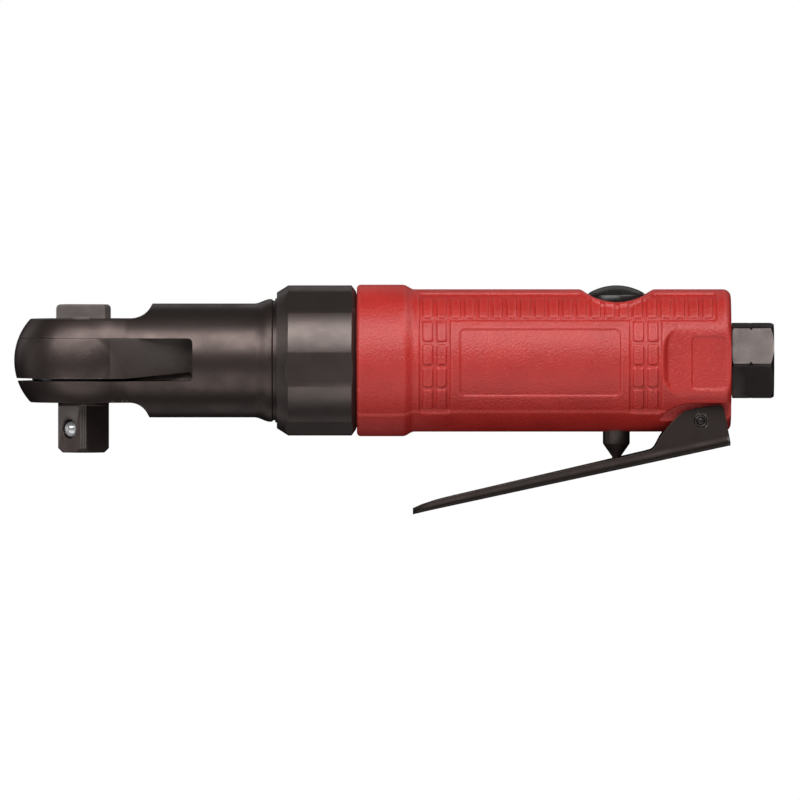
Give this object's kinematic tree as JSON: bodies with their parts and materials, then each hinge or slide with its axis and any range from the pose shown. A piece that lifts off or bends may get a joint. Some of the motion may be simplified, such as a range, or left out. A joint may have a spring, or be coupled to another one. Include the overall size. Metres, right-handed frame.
{
  "type": "air ratchet",
  "caption": "Compact 3/8 inch square-drive air ratchet: round forked head with a reversing knob, knurl-free neck, clamp nut, ribbed red motor handle, throttle lever and hex air inlet.",
  "frame": {"origin": "centre of the square drive's end face", "axes": "+X along the body from the drive towards the air inlet; +Z from the drive's end up through the head, parallel to the drive's axis; +Y to the far side of the body, so the lever hangs below"},
  "size_m": [0.1799, 0.036, 0.0545],
  "materials": {
    "black_steel": "satin black oxide",
    "red_paint": "satin, fine orange-peel texture",
    "bright_steel": "polished",
    "ground_steel": "ground",
    "bronze": "machined",
    "rubber": "matt",
    "phenolic": "cut laminate",
    "black_plastic": "satin",
    "felt": "pressed",
    "aluminium": "cast"
  },
  "bodies": {
    "housing": {"motor_housing": "red_paint", "clamp_nut": "black_steel", "ratchet_housing": "black_steel", "anvil_bushing": "bronze", "retaining_ring": "black_steel", "thrust_washer": "ground_steel", "crank_bearing_cup": "bright_steel", "ring_gear": "ground_steel", "gear_spacer": "ground_steel", "front_end_plate": "ground_steel", "rear_end_plate": "ground_steel", "front_bearing_outer": "bright_steel", "rear_bearing_outer": "bright_steel", "cylinder": "ground_steel", "cylinder_pin": "bright_steel", "plunger_o_ring": "rubber", "valve_seat": "bronze", "valve_spring": "ground_steel", "inlet_bushing": "black_steel", "inlet_o_ring": "rubber", "inlet_screen": "bronze", "exhaust_silencer": "felt", "exhaust_deflector": "aluminium", "lever_pin": "ground_steel"},
    "lever": {"throttle_lever": "black_steel"},
    "plunger": {"throttle_plunger": "black_steel", "throttle_valve": "black_plastic"},
    "knob": {"regulator_knob": "black_plastic", "regulator_o_ring": "rubber"},
    "rotor": {"rotor": "ground_steel", "rotor_blade_1": "phenolic", "rotor_blade_2": "phenolic", "rotor_blade_3": "phenolic", "rotor_blade_4": "phenolic", "rotor_blade_5": "phenolic", "front_bearing_inner": "bright_steel", "rear_bearing_inner": "bright_steel"},
    "front_balls": {"front_bearing_balls": "bright_steel"},
    "rear_balls": {"rear_bearing_balls": "bright_steel"},
    "crank": {"crankshaft": "ground_steel", "planet_pin_1": "bright_steel", "planet_pin_2": "bright_steel", "planet_pin_3": "bright_steel"},
    "rollers": {"crank_bearing_rollers": "bright_steel"},
    "bushing": {"drive_bushing": "bright_steel"},
    "planet_1": {"planet_gear_1": "ground_steel"},
    "planet_2": {"planet_gear_2": "ground_steel"},
    "planet_3": {"planet_gear_3": "ground_steel"},
    "yoke": {"ratchet_yoke": "black_steel"},
    "anvil": {"anvil": "black_steel", "pawl_pin": "bright_steel", "detent_spring": "ground_steel"},
    "pawl": {"ratchet_pawl": "ground_steel"},
    "button": {"reverse_button": "black_steel", "reverse_plunger": "bright_steel", "reverse_spring": "ground_steel"},
    "ball": {"detent_ball": "bright_steel"}
  },
  "joints": [
    {"name": "lever_squeeze", "type": "hinge", "parent": "housing", "child": "lever", "pos_m": [0.1461, 0, 0.0076], "axis": [0, 1, 0], "range_deg": [0, 9], "stiffness_Nm_per_rad": 0.3},
    {"name": "plunger_travel", "type": "slide", "parent": "housing", "child": "plunger", "axis": [0, 0, 1], "range_m": [0, 0.0034], "deforming": ["valve_spring"]},
    {"name": "knob_turn", "type": "hinge", "parent": "housing", "child": "knob", "pos_m": [0.1262, 0, 0.0356], "axis": [0, 0, 1], "range_deg": [-90, 90]},
    {"name": "rotor_spin", "type": "hinge", "parent": "housing", "child": "rotor", "pos_m": [0.0781, 0, 0.0218], "axis": [1, 0, 0], "continuous": true},
    {"name": "front_balls_orbit", "type": "hinge", "parent": "housing", "child": "front_balls", "pos_m": [0.061, 0, 0.0218], "axis": [1, 0, 0], "continuous": true},
    {"name": "rear_balls_orbit", "type": "hinge", "parent": "housing", "child": "rear_balls", "pos_m": [0.0952, 0, 0.0218], "axis": [1, 0, 0], "continuous": true},
    {"name": "crank_spin", "type": "hinge", "parent": "housing", "child": "crank", "pos_m": [0.038, 0, 0.0218], "axis": [1, 0, 0], "continuous": true},
    {"name": "rollers_orbit", "type": "hinge", "parent": "housing", "child": "rollers", "pos_m": [0.0375, 0, 0.0218], "axis": [1, 0, 0], "continuous": true},
    {"name": "bushing_spin", "type": "hinge", "parent": "crank", "child": "bushing", "pos_m": [0.0271, 0, 0.023], "axis": [1, 0, 0], "continuous": true},
    {"name": "planet_1_spin", "type": "hinge", "parent": "crank", "child": "planet_1", "pos_m": [0.052, 0, 0.029], "axis": [1, 0, 0], "continuous": true},
    {"name": "planet_2_spin", "type": "hinge", "parent": "crank", "child": "planet_2", "pos_m": [0.052, -0.00624, 0.0182], "axis": [1, 0, 0], "continuous": true},
    {"name": "planet_3_spin", "type": "hinge", "parent": "crank", "child": "planet_3", "pos_m": [0.052, 0.00624, 0.0182], "axis": [1, 0, 0], "continuous": true},
    {"name": "yoke_swing", "type": "hinge", "parent": "housing", "child": "yoke", "pos_m": [0, 0, 0.0218], "axis": [0, 0, 1], "range_deg": [-2.5, 2.5]},
    {"name": "anvil_spin", "type": "hinge", "parent": "housing", "child": "anvil", "pos_m": [0, 0, 0.0218], "axis": [0, 0, 1], "continuous": true},
    {"name": "button_turn", "type": "hinge", "parent": "anvil", "child": "button", "pos_m": [0, 0, 0.0218], "axis": [0, 0, 1], "range_deg": [0, 32.6]},
    {"name": "pawl_rock", "type": "hinge", "parent": "anvil", "child": "pawl", "pos_m": [-0.007, 0, 0.0218], "axis": [0, 0, -1], "range_deg": [0, 10]},
    {"name": "ball_press", "type": "slide", "parent": "anvil", "child": "ball", "axis": [0.7071, 0.7071, 0], "range_m": [0, 0.0007], "stiffness_N_per_m": 800, "springref_m": -0.0005, "deforming": ["detent_spring"]}
  ],
  "couplings": [
    {"joint": "plunger_travel", "follows": "lever_squeeze", "m_per_rad": 0.0212},
    {"joint": "front_balls_orbit", "follows": "rotor_spin", "ratio": 0.4077},
    {"joint": "rear_balls_orbit", "follows": "rotor_spin", "ratio": 0.4077},
    {"joint": "crank_spin", "follows": "rotor_spin", "ratio": 0.25},
    {"joint": "rollers_orbit", "follows": "rotor_spin", "ratio": 0.1079},
    {"joint": "bushing_spin", "follows": "rotor_spin", "ratio": -0.25},
    {"joint": "planet_1_spin", "follows": "rotor_spin", "ratio": -0.75},
    {"joint": "planet_2_spin", "follows": "rotor_spin", "ratio": -0.75},
    {"joint": "planet_3_spin", "follows": "rotor_spin", "ratio": -0.75},
    {"joint": "pawl_rock", "follows": "button_turn", "ratio": 0.3067}
  ]
}
